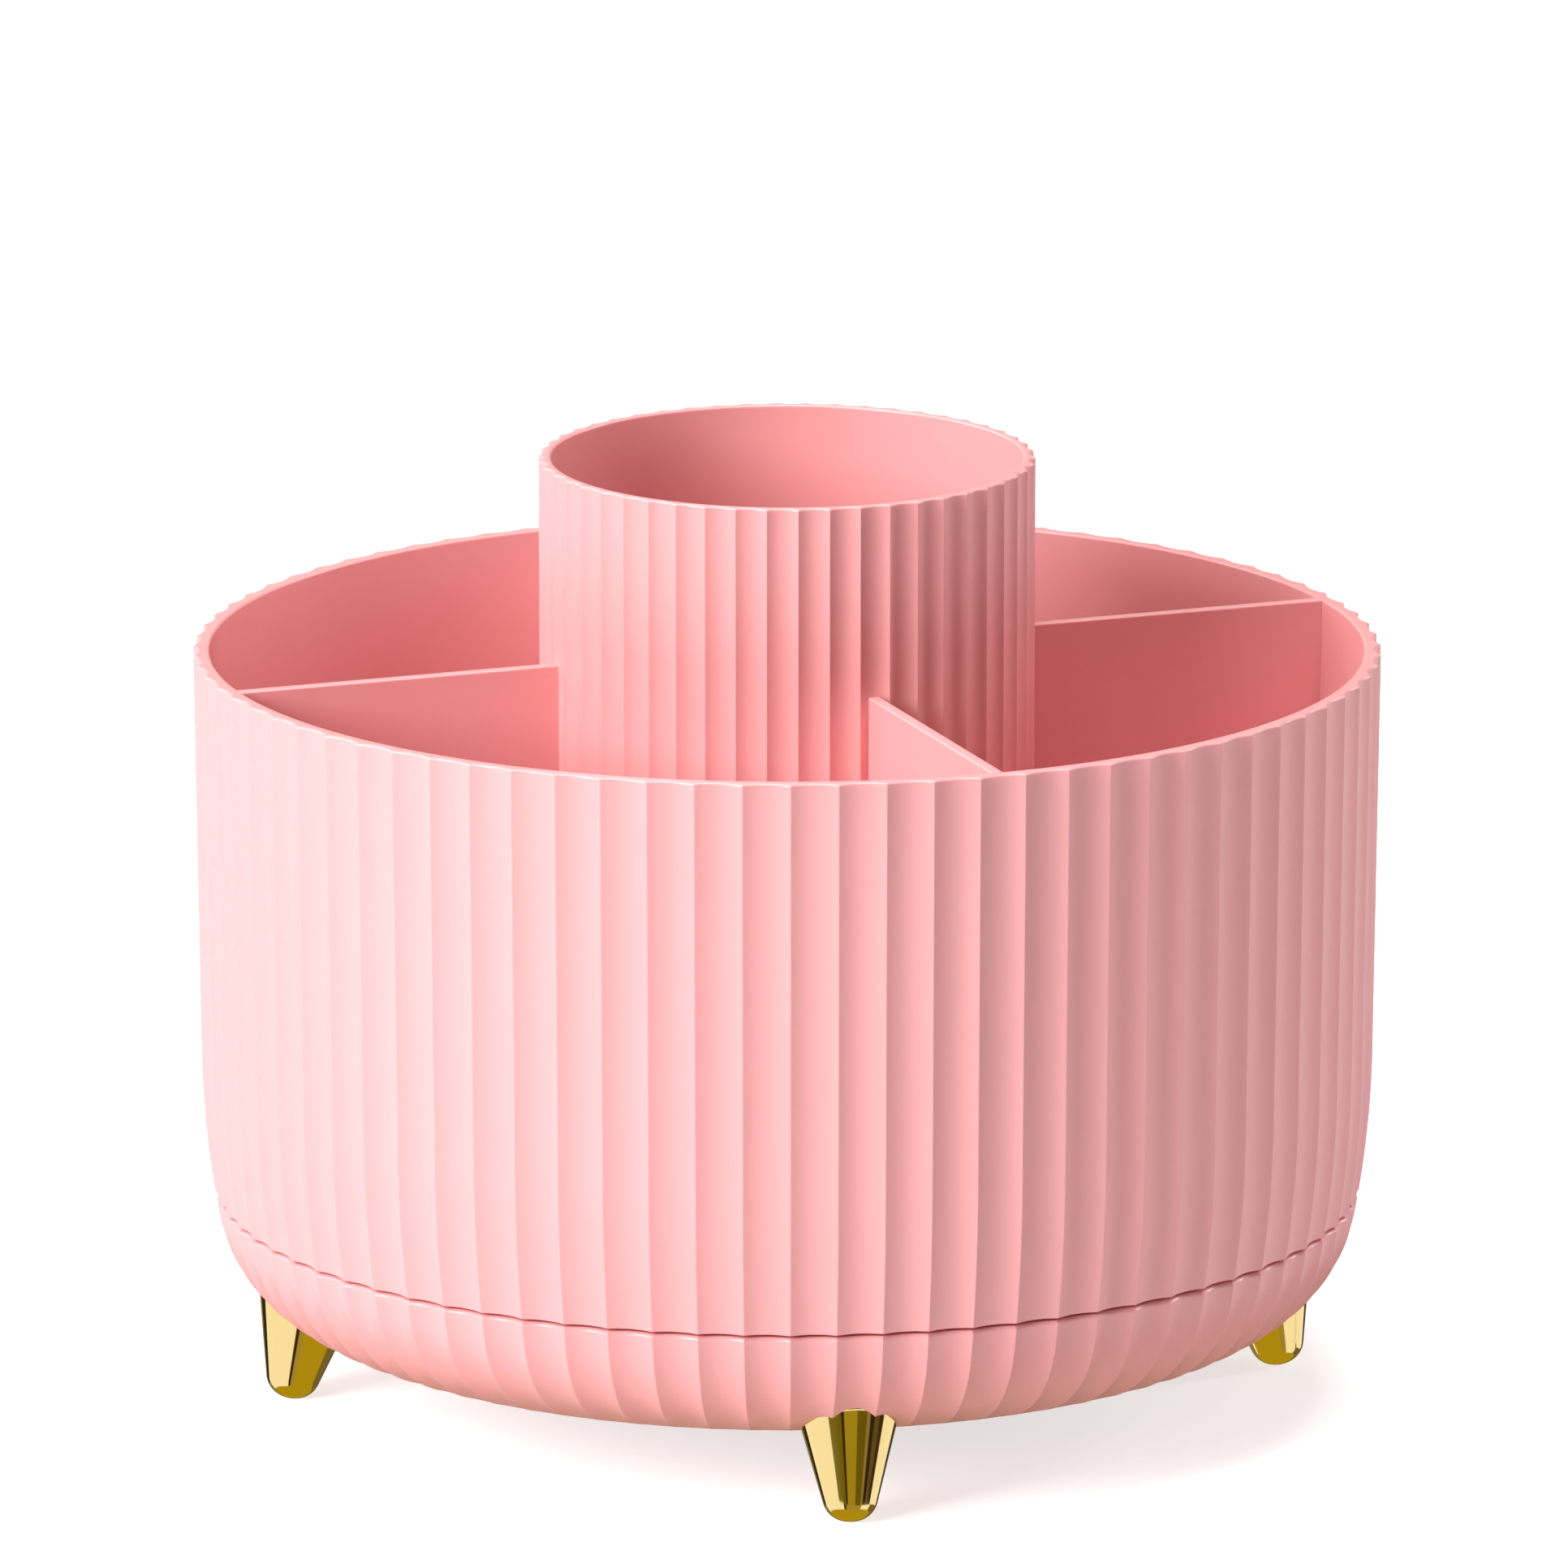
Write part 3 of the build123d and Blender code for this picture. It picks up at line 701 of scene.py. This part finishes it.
def below(world, height, elevation, usual, lower):
    """The lower colour where a ray points below an elevation, and the usual one above it."""
    under = add_node(world, "ShaderNodeMath", {"operation": "LESS_THAN"})
    world.node_tree.links.new(height, under.inputs[0])
    under.inputs[1].default_value = math.sin(math.radians(elevation))
    choice = add_node(world, "ShaderNodeMix", {"data_type": "RGBA"}, {"Factor": under.outputs["Value"]})
    world.node_tree.links.new(usual, choice.inputs[6])
    if isinstance(lower, str):
        choice.inputs[7].default_value = linear(lower)
    else:
        world.node_tree.links.new(lower, choice.inputs[7])
    return choice.outputs[2]


def panels(world):
    """Painted reflections that polished metal and the plastic's gloss see: pale and dark panels round the
    object, by their bearing and height, for glossy rays only.
    """
    place = add_node(world, "ShaderNodeTexCoord").outputs["Generated"]
    turn = add_node(world, "ShaderNodeVectorRotate", {"rotation_type": "Z_AXIS"}, {"Vector": place})
    turn.inputs["Angle"].default_value = math.radians(-CAMERA_AZIMUTH)
    parts = add_node(world, "ShaderNodeSeparateXYZ", {}, {"Vector": turn.outputs["Vector"]})
    bearing = add_node(world, "ShaderNodeMath", {"operation": "ARCTAN2"})
    world.node_tree.links.new(parts.outputs["Y"], bearing.inputs[0])
    world.node_tree.links.new(parts.outputs["X"], bearing.inputs[1])
    share = add_node(world, "ShaderNodeMapRange", {"From Min": -math.pi, "From Max": math.pi},
                     {"Value": bearing.outputs["Value"]}).outputs["Result"]
    upper = panel_ramp(world, share, UPPER_REFLECTION_PANELS)
    lower = panel_ramp(world, share, LOWER_REFLECTION_PANELS)
    seen = below(world, parts.outputs["Z"], UPPER_ABOVE, upper, lower)
    seen = below(world, parts.outputs["Z"], LOWER_ABOVE, seen, TABLE_REFLECTION_COLOUR)
    return add_node(world, "ShaderNodeBackground", {"Strength": PANEL_STRENGTH}, {"Color": seen})


def make_world():
    """Even studio light. The camera sees a white background, and glossy rays see the painted reflection
    panels, which light nothing.
    """
    world = bpy.data.worlds.new("studio")
    world.use_nodes = True
    world.node_tree.nodes.clear()
    path = add_node(world, "ShaderNodeLightPath")
    light = add_node(world, "ShaderNodeBackground", {"Color": linear(WORLD_COLOUR), "Strength": WORLD_LIGHT})
    white = add_node(world, "ShaderNodeBackground", {"Color": (1, 1, 1, 1), "Strength": 1.0})
    inner = switched(world, path.outputs["Is Glossy Ray"], light, panels(world))
    outer = switched(world, path.outputs["Is Camera Ray"], inner, white)
    add_node(world, "ShaderNodeOutputWorld", {}, {"Surface": outer.outputs[0]})
    bpy.context.scene.world = world


def make_floor():
    """A pale floor. The camera sees it white, with the object's shadow. Glossy surfaces far from it mirror
    it as it is lit, and those close to it, as the feet are, see through it to the painted reflection panels
    instead."""
    mesh = bpy.data.meshes.new("floor")
    reach = FLOOR_REACH
    corners = [(-reach, -reach, 0), (reach, -reach, 0), (reach, reach, 0), (-reach, reach, 0)]
    mesh.from_pydata(corners, [], [(0, 1, 2, 3)])
    paint = new_material("floor_paint")
    path = add_node(paint, "ShaderNodeLightPath")
    plain = add_node(paint, "ShaderNodeBsdfDiffuse", {"Color": linear(FLOOR_COLOUR)})
    glow = add_node(paint, "ShaderNodeEmission", {"Strength": FLOOR_GLOW})
    seen = add_node(paint, "ShaderNodeAddShader")
    paint.node_tree.links.new(plain.outputs[0], seen.inputs[0])
    paint.node_tree.links.new(glow.outputs[0], seen.inputs[1])
    # clear for near glossy rays, so that they reach the painted reflection panels
    clear = add_node(paint, "ShaderNodeBsdfTransparent")
    far = add_node(paint, "ShaderNodeMath", {"operation": "GREATER_THAN"})
    paint.node_tree.links.new(path.outputs["Ray Length"], far.inputs[0])
    far.inputs[1].default_value = PANEL_REACH * MM
    mirrored = switched(paint, far.outputs["Value"], clear, plain)
    inner = switched(paint, path.outputs["Is Camera Ray"], plain, seen)
    mesh.materials.append(finished(paint, switched(paint, path.outputs["Is Glossy Ray"], inner, mirrored)))
    floor = bpy.data.objects.new("floor", mesh)
    bpy.context.scene.collection.objects.link(floor)


make_pieces()
dress_nodes()
make_camera()
make_world()
make_floor()
for light in LIGHTS:
    make_light(*light)

bpy.context.scene.view_settings.view_transform = "Standard"
